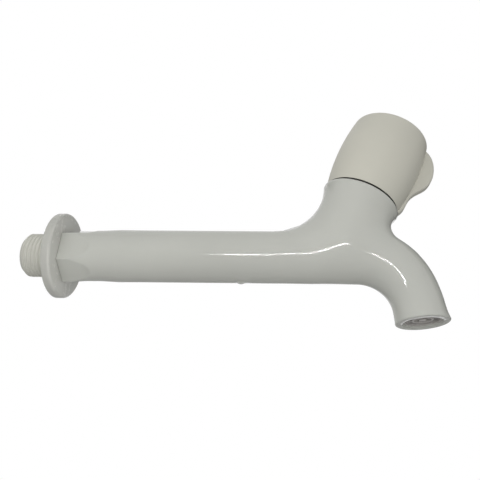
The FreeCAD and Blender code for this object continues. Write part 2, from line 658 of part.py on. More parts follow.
def knob_blank():
    """Barrel with a rounded crown edge and a low dome."""
    shoulder = RIM_HEIGHT + KNOB_HEIGHT - KNOB_CROWN_ROUND
    side, foot, crown = knob_side(0, KNOB_BOTTOM, shoulder)
    round_x = KNOB_CROWN_R - KNOB_CROWN_ROUND
    diagonal = KNOB_CROWN_ROUND * math.sqrt(0.5)
    bend = Vector(round_x + diagonal, 0, shoulder + diagonal)
    edge = Vector(round_x, 0, RIM_HEIGHT + KNOB_HEIGHT)
    top = Vector(0, 0, KNOB_TOP)
    dome_r = (edge.x ** 2 + KNOB_CROWN_RISE ** 2) / (2 * KNOB_CROWN_RISE)
    dome_x = edge.x / 2
    dome = Vector(dome_x, 0, KNOB_TOP - dome_r + math.sqrt(dome_r ** 2 - dome_x ** 2))
    edges = [
        Part.makeLine(Vector(0, 0, KNOB_BOTTOM), foot),
        side,
        Part.Arc(crown, bend, edge).toShape(),
        Part.Arc(edge, dome, top).toShape(),
        Part.makeLine(top, Vector(0, 0, KNOB_BOTTOM)),
    ]
    return Part.Face(Part.Wire(edges)).revolve(Vector(0, 0, 0), Vector(0, 0, 1), 360)


def knob_fin():
    """Finger fin on the spout side: a soft lobe whose lower edge sweeps back into the skirt."""
    root = KNOB_FOOT_R - KNOB_WALL
    side_y = -FIN_THICKNESS / 2
    lobe = Part.BSplineCurve()
    lobe.interpolate([Vector(radius, side_y, RIM_HEIGHT + height) for radius, height in FIN_OUTLINE])
    top = lobe.StartPoint
    bottom = lobe.EndPoint
    inner_top = Vector(root, top.y, top.z)
    inner_bottom = Vector(root, top.y, bottom.z)
    edges = [
        lobe.toShape(),
        Part.makeLine(bottom, inner_bottom),
        Part.makeLine(inner_bottom, inner_top),
        Part.makeLine(inner_top, top),
    ]
    fin = Part.Face(Part.Wire(edges)).extrude(Vector(0, FIN_THICKNESS, 0))
    rims = [e for e in fin.Edges if e.BoundBox.YLength < 0.01 and e.BoundBox.XMax > KNOB_BELLY_R]
    return fin.makeFillet(FIN_EDGE_ROUND, rims)


def knob_cavity():
    """Hollow under the knob, open at the foot."""
    top = RIM_HEIGHT + KNOB_HEIGHT - KNOB_WALL
    side, foot, crown = knob_side(KNOB_WALL, KNOB_BOTTOM, top)
    edges = [
        Part.makeLine(Vector(0, 0, KNOB_BOTTOM), foot),
        side,
        Part.makeLine(crown, Vector(0, 0, top)),
        Part.makeLine(Vector(0, 0, top), Vector(0, 0, KNOB_BOTTOM)),
    ]
    return Part.Face(Part.Wire(edges)).revolve(Vector(0, 0, 0), Vector(0, 0, 1), 360)


def knob():
    """Hollow knob with a splined boss on four ribs and a screw well from the top."""
    shell = knob_blank().fuse(knob_fin())
    cavity = knob_cavity()
    core_top = KNOB_TOP - CAP_THICKNESS
    rib_bottom = RIM_HEIGHT + KNOB_RIB_BOTTOM
    boss = rod(KNOB_BOSS_R, SPLINE_BOTTOM, core_top)
    ribs = [block(2 * KNOB_BELLY_R, KNOB_RIB_THICKNESS, rib_bottom, core_top, turn) for turn in (45, 135)]
    core = boss.fuse(ribs).common(cavity)
    body = shell.cut(cavity).fuse(core)
    cuts = [
        spline_bar(RUN_GAP, SPLINE_BOTTOM - OVERSHOOT, SPINDLE_TOP + RUN_GAP),
        rod(SCREW_R + SLIDE_GAP, SPINDLE_TOP - OVERSHOOT, SCREW_SEAT_Z + OVERSHOOT),
        rod(SCREW_WELL_R, SCREW_SEAT_Z, KNOB_TOP + OVERSHOOT),
        rod(CAP_R + SLIDE_GAP, CAP_BOTTOM, KNOB_TOP + OVERSHOOT),
    ]
    for cut in cuts:
        body = body.cut(cut)
    return body


def screw_washer():
    return ring(SCREW_R + SLIDE_GAP, WASHER_R, SCREW_SEAT_Z, SCREW_SEAT_Z + WASHER_THICKNESS)


def handle_screw():
    """Slotted pan-head screw down the middle of the knob."""
    head_z = SCREW_SEAT_Z + WASHER_THICKNESS
    shank = rod(SCREW_R - RUN_GAP, SPINDLE_TOP - SCREW_DEPTH, head_z)
    head = rod(SCREW_HEAD_R, head_z, head_z + SCREW_HEAD_HEIGHT)
    rim = edges_in_plane(head, Vector(0, 0, head_z + SCREW_HEAD_HEIGHT), Vector(0, 0, 1))
    head = head.makeFillet(SCREW_HEAD_HEIGHT / 3, rim)
    slot = block(3 * SCREW_HEAD_R, SCREW_HEAD_R / 4, head_z + SCREW_HEAD_HEIGHT - SCREW_SLOT_DEPTH,
                 head_z + SCREW_HEAD_HEIGHT + OVERSHOOT)
    return shank.fuse(head).cut(slot)


def cover_cap():
    """Push-in cap flush with the dome, with a hollow stem in the screw well."""
    disc = rod(CAP_R, CAP_BOTTOM, KNOB_TOP + OVERSHOOT).common(knob_blank())
    outer = SCREW_WELL_R - RUN_GAP
    stem = ring(outer - CAP_STEM_WALL, outer, CAP_BOTTOM - CAP_STEM_LENGTH, CAP_BOTTOM)
    return disc.fuse(stem)


def flow_straightener():
    """Ring, hub and inner ring joined by vanes, just inside the outlet."""
    bottom = STRAIGHTENER_RECESS
    top = bottom + STRAIGHTENER_HEIGHT
    outer = OUTLET_BORE_R - RUN_GAP
    shape = ring(outer - STRAIGHTENER_RIM, outer, bottom, top)
    inner = ring(STRAIGHTENER_RING_R - STRAIGHTENER_WALL, STRAIGHTENER_RING_R, bottom, top)
    hub = rod(STRAIGHTENER_HUB_R, bottom, top)
    vanes = [block(2 * outer - STRAIGHTENER_RIM, STRAIGHTENER_WALL, bottom + STRAIGHTENER_WALL, top,
                   k * 360 / STRAIGHTENER_VANES) for k in range(STRAIGHTENER_VANES // 2)]
    return shape.fuse([inner, hub] + vanes)


def outlet_screen():
    """Perforated disc above the straightener, its holes on a hexagonal pitch."""
    bottom = STRAIGHTENER_RECESS + STRAIGHTENER_HEIGHT
    screen = rod(OUTLET_BORE_R - RUN_GAP, bottom, bottom + SCREEN_THICKNESS)
    holes = []
    rings = range(-SCREEN_RINGS, SCREEN_RINGS + 1)
    for row in rings:
        for column in rings:
            x = SCREEN_PITCH * (column + row / 2)
            y = SCREEN_PITCH * row * math.sqrt(3) / 2
            if abs(row + column) <= SCREEN_RINGS:
                hole = hexagon(2 * SCREEN_HOLE_R, bottom - OVERSHOOT, bottom + SCREEN_THICKNESS + OVERSHOOT)
                hole.translate(Vector(x, y, 0))
                holes.append(hole)
    return screen.cut(holes)


def outlet_washer():
    outer = OUTLET_BORE_R - RUN_GAP
    return ring(outer - WASHER_RIM, outer, OUTLET_STEP - WASHER_HEIGHT, OUTLET_STEP)


BRANCH_PIECES = {
    "base_seal": base_seal(),
    "fixed_disc": fixed_disc(),
    "moving_disc": moving_disc(),
    "disc_carrier": disc_carrier(),
    "cartridge_housing": cartridge_housing(),
    "housing_o_ring": housing_o_ring(),
    "thrust_washer": thrust_washer(),
    "spindle": spindle(),
    "spindle_o_ring_lower": spindle_o_ring(LOWER_GROOVE_HEIGHT),
    "spindle_o_ring_upper": spindle_o_ring(UPPER_GROOVE_HEIGHT),
    "spindle_circlip": spindle_circlip(),
    "retaining_nut": retaining_nut(),
    "knob": knob(),
    "screw_washer": screw_washer(),
    "handle_screw": handle_screw(),
    "cover_cap": cover_cap(),
}

OUTLET_PIECES = {
    "flow_straightener": flow_straightener(),
    "outlet_screen": outlet_screen(),
    "outlet_washer": outlet_washer(),
}


def all_pieces():
    """Every piece in its place in the tap."""
    pieces = {"tap_body": tap_body(), "wall_flange": wall_flange()}
    for placement, group in ((BRANCH, BRANCH_PIECES), (OUTLET, OUTLET_PIECES)):
        for name, shape in group.items():
            shape.Placement = placement.multiply(shape.Placement)
            pieces[name] = shape
    return pieces


os.makedirs("parts", exist_ok=True)
for node, solid in all_pieces().items():
    solid = solid.removeSplitter()
    print(node, "valid", solid.isValid(), "solids", len(solid.Solids), "volume", round(solid.Volume, 1))
    solid.exportStep("parts/" + node + ".step")
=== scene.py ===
import bmesh
import bpy
import math
import numpy as np
from mathutils import Matrix, Vector


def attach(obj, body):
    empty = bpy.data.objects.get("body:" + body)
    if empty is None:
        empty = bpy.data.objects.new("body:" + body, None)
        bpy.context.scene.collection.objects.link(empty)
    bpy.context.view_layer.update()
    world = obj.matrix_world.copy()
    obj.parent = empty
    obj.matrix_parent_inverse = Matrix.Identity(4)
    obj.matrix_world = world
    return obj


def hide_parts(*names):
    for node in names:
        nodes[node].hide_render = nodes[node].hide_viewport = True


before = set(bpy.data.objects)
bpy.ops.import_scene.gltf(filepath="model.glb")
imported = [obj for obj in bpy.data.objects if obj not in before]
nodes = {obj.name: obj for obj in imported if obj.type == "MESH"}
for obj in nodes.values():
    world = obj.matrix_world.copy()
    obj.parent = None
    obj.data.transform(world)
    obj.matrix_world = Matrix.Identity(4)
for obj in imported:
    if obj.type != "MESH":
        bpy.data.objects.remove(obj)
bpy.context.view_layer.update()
MM = 0.001
bpy.context.scene.view_settings.view_transform = "Standard"

# Sizes repeated from the part's source, in millimetres
THREAD_R = 10.4775
THREAD_END_X = -15.7
THREAD_CHAMFER = 2.0
THREAD_TIP_R = 8.6
RELIEF_R = 9.3
RELIEF_START_X = -2.0
SHOULDER_R = 11.2
SHOULDER_START_X = -0.5
BORE_R = 6.8
FLANGE_THICKNESS = 4.06
HEX_ACROSS_FLATS = 23.3
HEX_LENGTH = 5.2
HEX_TAPER_LENGTH = 8.5
FLAT_LENGTH = 10.5
FLAT_RUNOUT_R = 16.0
NECK_R = 12.26
NECK_TO_TUBE = 13.5
TUBE_WALL_END_R = 12.6
BRANCH_X = 132.5
BRANCH_TILT = 25.3
RIM_HEIGHT = 32.7
KNOB_GAP = 1.35
TUBE_END_X = 143.0
SPOUT_BEND_R = 26.2
SPOUT_TURN = 86.7
SPOUT_STRAIGHT = 5.8

# Sizes of the visual pieces only, in millimetres; the thread is shallower than the standard, as in the photo
THREAD_PITCH = 1.814
THREAD_DEPTH = 0.62
THREAD_SEGMENTS = 144
THREAD_STEPS = 12
THREAD_FLANK = 1.25
THREAD_REACH_X = 3.0
THREAD_BORE_CHAMFER = 0.4
WRENCH_SEGMENTS = 360
WRENCH_COLUMNS = 150
WRENCH_REACH_X = 3.2
EDGE_SOFTNESS = 0.22
EDGE_BREAK = 0.3
BLANK_SLOPE = -0.2
NECK_SLOPE = -0.0531
TUBE_CUT_X = 31.3
RUNOUT_LIMIT = 0.9
SHANK_GAP = 0.02
RELIEF_CONE = 0.1
WRENCH_GAP = 0.03
UNDERSIDE_DEPTH = 0.15

# Shading of the moulding, in metres and degrees
WELD_DISTANCE = 2e-6
CREASE_ANGLE = 32
THREAD_CREASE_ANGLE = 40
WRENCH_CREASE_ANGLE = 35
LONGEST_EDGE = 0.0025
REFINED_FROM_X = 0.100
NORMAL_SPREAD = 0.004
NORMAL_SAMPLES = 26000
EASED_FROM_X = 0.104
EASED_FADE = 1.2
SMALLEST_AREA = 1e-14
FACING_LIMIT = 0.3
CHUNK = 400
CUT_PRECISION = 1e-7
RIM_PRECISION = 1e-6
EASED_TIP_GAP = 0.001
EASED_RIM_GAP = 0.0005
SAMPLE_TIP_GAP = 0.0009
TIP_ZONE = 0.03
OUTER_SEED = Vector((TUBE_END_X * MM, -0.013, 0))

# Refractive index of the plastics, lowered to how weakly they mirror the surroundings in the photo
PLASTIC_IOR = 1.27


# Node helpers for the materials
def new_material(name):
    material = bpy.data.materials.new(name)
    material.use_nodes = True
    tree = material.node_tree
    shader = tree.nodes["Principled BSDF"]
    return material, tree, shader


def add(tree, kind, **values):
    node = tree.nodes.new(kind)
    for key, value in values.items():
        if hasattr(node, key):
            setattr(node, key, value)
        else:
            node.inputs[key.replace("_", " ")].default_value = value
    return node


def noise(tree, scale, detail=2.0, roughness=0.5, stretch=None):
    coords = add(tree, "ShaderNodeTexCoord")
    source = coords.outputs["Object"]
    if stretch:
        mapping = add(tree, "ShaderNodeMapping")
        mapping.inputs["Scale"].default_value = stretch
        tree.links.new(source, mapping.inputs["Vector"])
        source = mapping.outputs["Vector"]
    texture = add(tree, "ShaderNodeTexNoise", Scale=scale, Detail=detail, Roughness=roughness)
    tree.links.new(source, texture.inputs["Vector"])
    return texture.outputs["Fac"]


def ramp(tree, source, low, high, from_low=0.3, from_high=0.7):
    """Maps a noise value to a narrow range of numbers."""
    mapped = add(tree, "ShaderNodeMapRange")
    mapped.inputs["From Min"].default_value = from_low
    mapped.inputs["From Max"].default_value = from_high
    mapped.inputs["To Min"].default_value = low
    mapped.inputs["To Max"].default_value = high
    tree.links.new(source, mapped.inputs["Value"])
    return mapped.outputs["Result"]


def mixed_colour(tree, source, first, second):
    mix = add(tree, "ShaderNodeMix", data_type="RGBA")
    mix.inputs[6].default_value = (*first, 1)
    mix.inputs[7].default_value = (*second, 1)
    tree.links.new(source, mix.inputs[0])
    return mix.outputs[2]


def bump(tree, shader, sources):
    """Chains bumps given as (height source, strength, distance)."""
    normal = None
    for source, strength, distance in sources:
        node = add(tree, "ShaderNodeBump", Strength=strength, Distance=distance)
        tree.links.new(source, node.inputs["Height"])
        if normal:
            tree.links.new(normal, node.inputs["Normal"])
        normal = node.outputs["Normal"]
    tree.links.new(normal, shader.inputs["Normal"])


def plastic(name, first, second, rough_low, rough_high, grain_scale, grain_strength, wave_strength=0.0):
    """Moulded plastic: cloudy colour, uneven gloss, fine grain and the slow waves of a thick moulding."""
    material, tree, shader = new_material(name)
    cloud = noise(tree, 38, 3.0, 0.55)
    tree.links.new(mixed_colour(tree, ramp(tree, cloud, 0, 1), first, second), shader.inputs["Base Color"])
    patch = noise(tree, 120, 4.0, 0.6)
    tree.links.new(ramp(tree, patch, rough_low, rough_high), shader.inputs["Roughness"])
    shader.inputs["IOR"].default_value = PLASTIC_IOR
    bumps = [(noise(tree, grain_scale, 4.0, 0.6), grain_strength, 0.0001)]
    if wave_strength:
        bumps.append((noise(tree, 55, 1.0, 0.4), wave_strength, 0.0006))
    bump(tree, shader, bumps)
    return material


def metal(name, first, second, roughness, grain_scale, stretch):
    """Turned or rolled metal with fine lines along one direction."""
    material, tree, shader = new_material(name)
    lines = noise(tree, grain_scale, 3.0, 0.6, stretch)
    tree.links.new(mixed_colour(tree, ramp(tree, lines, 0, 1), first, second), shader.inputs["Base Color"])
    shader.inputs["Metallic"].default_value = 1.0
    tree.links.new(ramp(tree, lines, roughness - 0.06, roughness + 0.08), shader.inputs["Roughness"])
    bump(tree, shader, [(lines, 0.15, 0.00005)])
    return material


# Plastics: two colours, lowest and highest roughness, grain scale and strength, and waves in a thick moulding
MATERIALS = {
    "body": plastic(
        "moulded_gloss", (0.485, 0.49, 0.452), (0.465, 0.47, 0.434), 0.06, 0.10, 2400, 0.02, 0.03),
    "flange": plastic(
        "flange_gloss", (0.455, 0.455, 0.422), (0.437, 0.437, 0.405), 0.22, 0.30, 2200, 0.04, 0.03),
    "thread": plastic("thread_plastic", (0.60, 0.60, 0.545), (0.575, 0.57, 0.515), 0.35, 0.48, 2600, 0.08),
    "knob": plastic("moulded_satin", (0.53, 0.52, 0.455), (0.505, 0.497, 0.435), 0.40, 0.48, 3200, 0.12),
    # The flow straightener's own off-white plastic, darkened by painted shade of the recess inside the outlet
    "insert": plastic("insert_plastic", (0.50, 0.48, 0.46), (0.44, 0.42, 0.40), 0.3, 0.42, 2400, 0.06),
    "inner": plastic("grey_plastic", (0.12, 0.125, 0.135), (0.10, 0.105, 0.115), 0.4, 0.5, 2400, 0.08),
    "slip": plastic("slip_plastic", (0.75, 0.75, 0.72), (0.70, 0.70, 0.67), 0.35, 0.45, 2400, 0.05),
    "rubber": plastic("seal_rubber", (0.018, 0.018, 0.019), (0.025, 0.025, 0.026), 0.5, 0.65, 1800, 0.15),
    "ceramic": plastic("disc_ceramic", (0.80, 0.78, 0.73), (0.76, 0.74, 0.69), 0.12, 0.2, 3000, 0.02),
    # Painted shadow: a near-black tone for the knob's underside, which lies in shade in the gap above the cup
    "shade": plastic("painted_gap_shadow", (0.075, 0.075, 0.068), (0.06, 0.06, 0.055), 0.6, 0.7, 2400, 0.05),
    "brass": metal("turned_brass", (0.62, 0.44, 0.17), (0.56, 0.39, 0.14), 0.28, 900, (1, 1, 14)),
    # Steel screen coloured near black: painted shade of the outlet's depths behind the insert
    "screen": metal("screen_steel_painted_shade", (0.10, 0.10, 0.105), (0.07, 0.07, 0.075), 0.42, 1400, (1, 6, 1)),
    "steel": metal("plain_steel", (0.55, 0.55, 0.56), (0.48, 0.48, 0.49), 0.28, 1200, (6, 1, 1)),
}

NODE_MATERIALS = {
    "tap_body": "body",
    "wall_flange": "flange",
    "knob": "knob",
    "cover_cap": "knob",
    "flow_straightener": "insert",
    "outlet_screen": "screen",
    "outlet_washer": "rubber",
    "base_seal": "rubber",
    "housing_o_ring": "rubber",
    "spindle_o_ring_lower": "rubber",
    "spindle_o_ring_upper": "rubber",
    "fixed_disc": "ceramic",
    "moving_disc": "ceramic",
    "disc_carrier": "inner",
    "cartridge_housing": "brass",
    "spindle": "brass",
    "retaining_nut": "brass",
    "thrust_washer": "slip",
    "spindle_circlip": "steel",
    "screw_washer": "steel",
    "handle_screw": "steel",
}


def smooth(mesh, degrees=CREASE_ANGLE):
    mesh.shade_smooth()
    mesh.set_sharp_from_angle(angle=math.radians(degrees))


for node, key in NODE_MATERIALS.items():
    mesh = nodes[node].data
    mesh.materials.clear()
    mesh.materials.append(MATERIALS[key])
    smooth(mesh)


TILT = math.radians(BRANCH_TILT)
CUP_UP = Vector((math.sin(TILT), 0, math.cos(TILT)))
CUP_BASE = Vector((BRANCH_X * MM, 0, 0))


def shade_underside():
    """Paints the knob's underside, only seen through the gap above the cup, in the dark tone of its shadow:
    painted shadow, not the knob's own colour.
    """
    obj = nodes["knob"]
    top = RIM_HEIGHT + KNOB_GAP + UNDERSIDE_DEPTH
    obj.data.materials.append(MATERIALS["shade"])
    turn = obj.matrix_world.to_3x3()
    for face in obj.data.polygons:
        height = (obj.matrix_world @ face.center - CUP_BASE).dot(CUP_UP) / MM
        if (turn @ face.normal).dot(CUP_UP) < -0.9 and height < top:
            face.material_index = 1


shade_underside()


def linked(name, mesh):
    obj = bpy.data.objects.new(name, mesh)
    bpy.context.scene.collection.objects.link(obj)
    return obj


def welded_copy(node, name):
    """Copy of a CAD node's mesh with its split vertices joined."""
    work = bmesh.new()
    work.from_mesh(nodes[node].data)
    bmesh.ops.remove_doubles(work, verts=work.verts, dist=WELD_DISTANCE)
    mesh = bpy.data.meshes.new(name)
    work.to_mesh(mesh)
    work.free()
    return mesh


def thread_outline(turn):
    """Radius and height pairs of one cut through the thread, turn being the share of a full turn."""
    run_out = THREAD_END_X + THREAD_CHAMFER
    root = THREAD_R - THREAD_DEPTH
    points = []
    steps = int((RELIEF_START_X - THREAD_END_X) / THREAD_PITCH * THREAD_STEPS)
    for k in range(steps + 1):
        x = THREAD_END_X + (RELIEF_START_X - THREAD_END_X) * k / steps
        phase = (x / THREAD_PITCH + turn) % 1.0
        wave = 0.5 + 0.5 * math.cos(2 * math.pi * phase)
        wave = min(1.0, max(0.0, (wave - 0.5) * THREAD_FLANK + 0.5))
        radius = root + THREAD_DEPTH * wave
        limit = THREAD_R
        if x < run_out:
            limit = THREAD_TIP_R + (THREAD_R - THREAD_TIP_R) * (x - THREAD_END_X) / THREAD_CHAMFER
        points.append((x, min(radius, limit)))
    return points


def threaded_shank():
    """Helical inlet thread with its bore, closed, reaching into the flange's bore."""
    segments = THREAD_SEGMENTS
    shoulder = SHOULDER_R - SHANK_GAP
    chamfer = THREAD_BORE_CHAMFER
    work = bmesh.new()
    rings = []
    for s in range(segments):
        angle = 2 * math.pi * s / segments
        outline = thread_outline(s / segments)
        outline += [(RELIEF_START_X + RELIEF_CONE, RELIEF_R), (SHOULDER_START_X, RELIEF_R)]
        outline += [(SHOULDER_START_X, shoulder), (THREAD_REACH_X, shoulder), (THREAD_REACH_X, BORE_R)]
        outline += [(THREAD_END_X + chamfer, BORE_R), (THREAD_END_X, BORE_R + chamfer)]
        rings.append([work.verts.new((x * MM, r * MM * math.cos(angle), r * MM * math.sin(angle)))
                      for x, r in outline])
    for s in range(segments):
        first, second = rings[s], rings[(s + 1) % segments]
        for k in range(len(first)):
            n = (k + 1) % len(first)
            work.faces.new((first[k], second[k], second[n], first[n]))
    bmesh.ops.recalc_face_normals(work, faces=work.faces)
    mesh = bpy.data.meshes.new("inlet_thread")
    work.to_mesh(mesh)
    work.free()
    mesh.materials.append(MATERIALS["thread"])
    smooth(mesh, THREAD_CREASE_ANGLE)
    return linked("inlet_thread", mesh)


def eased(x, x0, y0, slope0, x1, y1, slope1):
    """Cubic between two points with given slopes."""
    span = x1 - x0
    t = (x - x0) / span
    bend = y0 * (2 * t**3 - 3 * t**2 + 1) + y1 * (3 * t**2 - 2 * t**3)
    return bend + span * (slope0 * (t**3 - 2 * t**2 + t) + slope1 * (t**3 - t**2))


def blank_radius(x):
    """Radius of the turned blank that the wrench flats are cut into."""
    corner = HEX_ACROSS_FLATS / 2 / math.cos(math.radians(30))
    taper_x = FLANGE_THICKNESS + HEX_LENGTH
    neck_x = taper_x + HEX_TAPER_LENGTH
    if x <= taper_x:
        return corner
    if x <= neck_x:
        return eased(x, taper_x, corner, BLANK_SLOPE, neck_x, NECK_R, NECK_SLOPE)
    return eased(x, neck_x, NECK_R, NECK_SLOPE, neck_x + NECK_TO_TUBE, TUBE_WALL_END_R, 0.0)


def flat_height(x):
    """Distance of a wrench flat from the axis, with its run-out arc."""
    past = x - FLANGE_THICKNESS - FLAT_LENGTH
    depth = HEX_ACROSS_FLATS / 2
    if past <= 0:
        return depth
    past = min(past, FLAT_RUNOUT_R * RUNOUT_LIMIT)
    return depth + FLAT_RUNOUT_R - math.sqrt(FLAT_RUNOUT_R**2 - past**2)


def wrench_radius(x, off):
    """Radius of the wrench end, off being the angle from the middle of the nearest flat."""
    flat = flat_height(x) / math.cos(off)
    blank = blank_radius(x)
    near = max(0.0, 1 - abs(flat - blank) / EDGE_SOFTNESS)
    radius = min(flat, blank) - near * near * EDGE_SOFTNESS / 4
    depth = x - FLANGE_THICKNESS
    if depth < EDGE_BREAK:
        radius -= EDGE_BREAK - depth
    return radius


def wrench_end():
    """Hexagon with its run-outs and the neck behind it, closed, as a fine grid."""
    segments = WRENCH_SEGMENTS
    first_x = FLANGE_THICKNESS
    last_x = TUBE_CUT_X
    inner_r = BORE_R - SHANK_GAP
    shoulder = SHOULDER_R - WRENCH_GAP
    work = bmesh.new()
    rows = []
    for s in range(segments):
        angle = math.radians(s)
        off = math.radians(abs(30 - s % 60))
        outline = [(WRENCH_REACH_X, inner_r), (WRENCH_REACH_X, shoulder), (first_x, shoulder)]
        for k in range(WRENCH_COLUMNS + 1):
            x = first_x + (last_x - first_x) * k / WRENCH_COLUMNS
            outline.append((x, wrench_radius(x, off)))
        outline.append((last_x, inner_r))
        rows.append([work.verts.new((x * MM, -r * MM * math.sin(angle), r * MM * math.cos(angle)))
                     for x, r in outline])
    for s in range(segments):
        first, second = rows[s], rows[(s + 1) % segments]
        for k in range(len(first)):
            n = (k + 1) % len(first)
            work.faces.new((first[k], first[n], second[n], second[k]))
    bmesh.ops.recalc_face_normals(work, faces=work.faces)
    mesh = bpy.data.meshes.new("wrench_end")
    work.to_mesh(mesh)
    work.free()
    mesh.materials.append(MATERIALS["body"])
    smooth(mesh, WRENCH_CREASE_ANGLE)
    return linked("wrench_end", mesh)


def refined(work, longest, first_x):
    """Splits the long edges beyond first_x, so that the surface can carry smoother normals."""
    for _ in range(4):
        long = [e for e in work.edges
                if e.calc_length() > longest and min(v.co.x for v in e.verts) > first_x]
        if not long:
            break
        bmesh.ops.subdivide_edges(work, edges=long, cuts=1)
        bmesh.ops.triangulate(work, faces=[f for f in work.faces if len(f.verts) > 3])


def outer_faces(mesh, seed):
    """Indices of the faces reached from the one nearest to the seed without crossing a crease."""
    crease = math.radians(CREASE_ANGLE)
    work = bmesh.new()
    work.from_mesh(mesh)
    work.faces.ensure_lookup_table()
    start = min(work.faces, key=lambda f: (f.calc_center_median() - seed).length)
    found = {start.index}
    waiting = [start]
    while waiting:
        face = waiting.pop()
        for edge in face.edges:
            if len(edge.link_faces) != 2 or edge.calc_face_angle() > crease:
                continue
            for other in edge.link_faces:
                if other.index not in found:
                    found.add(other.index)
                    waiting.append(other)
    work.free()
    return sorted(found)


def surface_samples(mesh, faces, points):
    """Points spread evenly by area over the faces, and the way that the surface faces at each."""
    mesh.calc_loop_triangles()
    chosen = set(faces)
    corners = np.array([t.vertices[:] for t in mesh.loop_triangles if t.polygon_index in chosen])
    sides = points[corners]
    across = np.cross(sides[:, 1] - sides[:, 0], sides[:, 2] - sides[:, 0])
    areas = np.linalg.norm(across, axis=1)
    keep = areas > SMALLEST_AREA
    sides, across, areas = sides[keep], across[keep], areas[keep]
    keep = sides.mean(axis=1)[:, 0] > EASED_FROM_X - 3 * NORMAL_SPREAD
    sides, across, areas = sides[keep], across[keep], areas[keep]
    dice = np.random.default_rng(5)
    picked = dice.choice(len(areas), NORMAL_SAMPLES, p=areas / areas.sum())
    u, v = dice.random(NORMAL_SAMPLES), dice.random(NORMAL_SAMPLES)
    u = np.sqrt(u)
    weights = np.stack([1 - u, u * (1 - v), u * v], axis=1)
    samples = (sides[picked] * weights[:, :, None]).sum(axis=1)
    return samples, across[picked] / areas[picked][:, None]


def outlet_place():
    """Centre of the outlet and the way that it points, in metres."""
    turn = math.radians(SPOUT_TURN)
    bend_x = TUBE_END_X + SPOUT_BEND_R * math.sin(turn)
    bend_z = -SPOUT_BEND_R * (1 - math.cos(turn))
    bend_end = np.array([bend_x, 0, bend_z]) * MM
    out_way = np.array([math.cos(turn), 0, -math.sin(turn)])
    return bend_end + out_way * SPOUT_STRAIGHT * MM, out_way


def eased_share(places):
    """How far the places lie inside the cup's rim, the outlet and the plain tube, as a share from 0 to 1."""
    tip, out_way = outlet_place()
    up_way = np.array([math.sin(TILT), 0, math.cos(TILT)])
    rim = np.array([BRANCH_X, 0, 0]) * MM + up_way * RIM_HEIGHT * MM
    near_tip = places @ out_way - tip @ out_way > -TIP_ZONE
    to_tip = np.where(near_tip, (tip - places) @ out_way, 1.0)
    to_rim = (rim - places) @ up_way
    room = np.minimum(np.minimum(to_tip - EASED_TIP_GAP, to_rim - EASED_RIM_GAP), places[:, 0] - EASED_FROM_X)
    share = np.clip(room / (EASED_FADE * NORMAL_SPREAD), 0, 1)
    return share * share * (3 - 2 * share)


def eased_normals(mesh):
    """Averages the outer surface's normals over a small radius, with the points left where they are."""
    faces = outer_faces(mesh, OUTER_SEED)
    points = np.array([v.co[:] for v in mesh.vertices])
    samples, facing = surface_samples(mesh, faces, points)
    tip, out_way = outlet_place()
    keep = (tip - samples) @ out_way > SAMPLE_TIP_GAP
    samples, facing = samples[keep], facing[keep]

    corner_vertex = np.array([loop.vertex_index for loop in mesh.loops])
    normals = np.array([n.vector[:] for n in mesh.corner_normals])
    used = np.zeros(len(mesh.loops), dtype=bool)
    for index in faces:
        polygon = mesh.polygons[index]
        used[polygon.loop_start:polygon.loop_start + polygon.loop_total] = True
    share = eased_share(points[corner_vertex]) * used
    corners_at = {}
    for k in np.nonzero(share > 0)[0]:
        corners_at.setdefault(corner_vertex[k], []).append(k)

    vertices = np.array(sorted(corners_at))
    for start in range(0, len(vertices), CHUNK):
        chunk = vertices[start:start + CHUNK]
        here = points[chunk]
        own = np.array([normals[corners_at[i]].mean(axis=0) for i in chunk])
        apart = ((here[:, None, :] - samples[None, :, :]) ** 2).sum(axis=2)
        weight = np.exp(-apart / (2 * NORMAL_SPREAD * NORMAL_SPREAD)) * ((own @ facing.T) > FACING_LIMIT)
        mean = weight @ facing
        mean /= np.linalg.norm(mean, axis=1)[:, None] + 1e-12
        for i, value in zip(chunk, mean):
            for k in corners_at[i]:
                blend = normals[k] * (1 - share[k]) + value * share[k]
                normals[k] = blend / np.linalg.norm(blend)
    mesh.normals_split_custom_set([tuple(n) for n in normals])


def moulding():
    """The body's visual mesh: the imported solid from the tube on, without its plain shank and hexagon."""
    mesh = welded_copy("tap_body", "tap_moulding")
    work = bmesh.new()
    work.from_mesh(mesh)
    cut_x = TUBE_CUT_X * MM
    cut = bmesh.ops.bisect_plane(
        work, geom=list(work.verts) + list(work.edges) + list(work.faces), plane_co=(cut_x, 0, 0),
        plane_no=(1, 0, 0), clear_inner=True, dist=CUT_PRECISION,
    )
    rim = [e for e in cut["geom_cut"] if isinstance(e, bmesh.types.BMEdge)]
    bmesh.ops.bridge_loops(work, edges=rim)
    bmesh.ops.recalc_face_normals(work, faces=work.faces)
    refined(work, LONGEST_EDGE, REFINED_FROM_X)
    work.to_mesh(mesh)
    work.free()
    mesh.materials.append(MATERIALS["body"])
    smooth(mesh)
    for edge in mesh.edges:
        if all(abs(mesh.vertices[i].co.x - cut_x) < RIM_PRECISION for i in edge.vertices):
            edge.use_edge_sharp = True
    eased_normals(mesh)
    return linked("tap_moulding", mesh)


body = moulding()
thread = threaded_shank()
wrench = wrench_end()
for piece in (body, thread, wrench):
    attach(piece, "tap")
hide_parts("tap_body")

# Camera at the photo's viewing angle
CAMERA_PLACE = Vector((0.10739, -0.21809, -0.09303))
CAMERA_RIGHT = Vector((0.99774, 0.05805, 0.03387))
CAMERA_DOWN = Vector((0.00252, 0.47131, -0.88196))
CAMERA_FORWARD = Vector((-0.06716, 0.88006, 0.47010))
FOCAL_PX = 498.06
CENTRE_PX = (247.208, 213.561)
FRAME_PX = 480

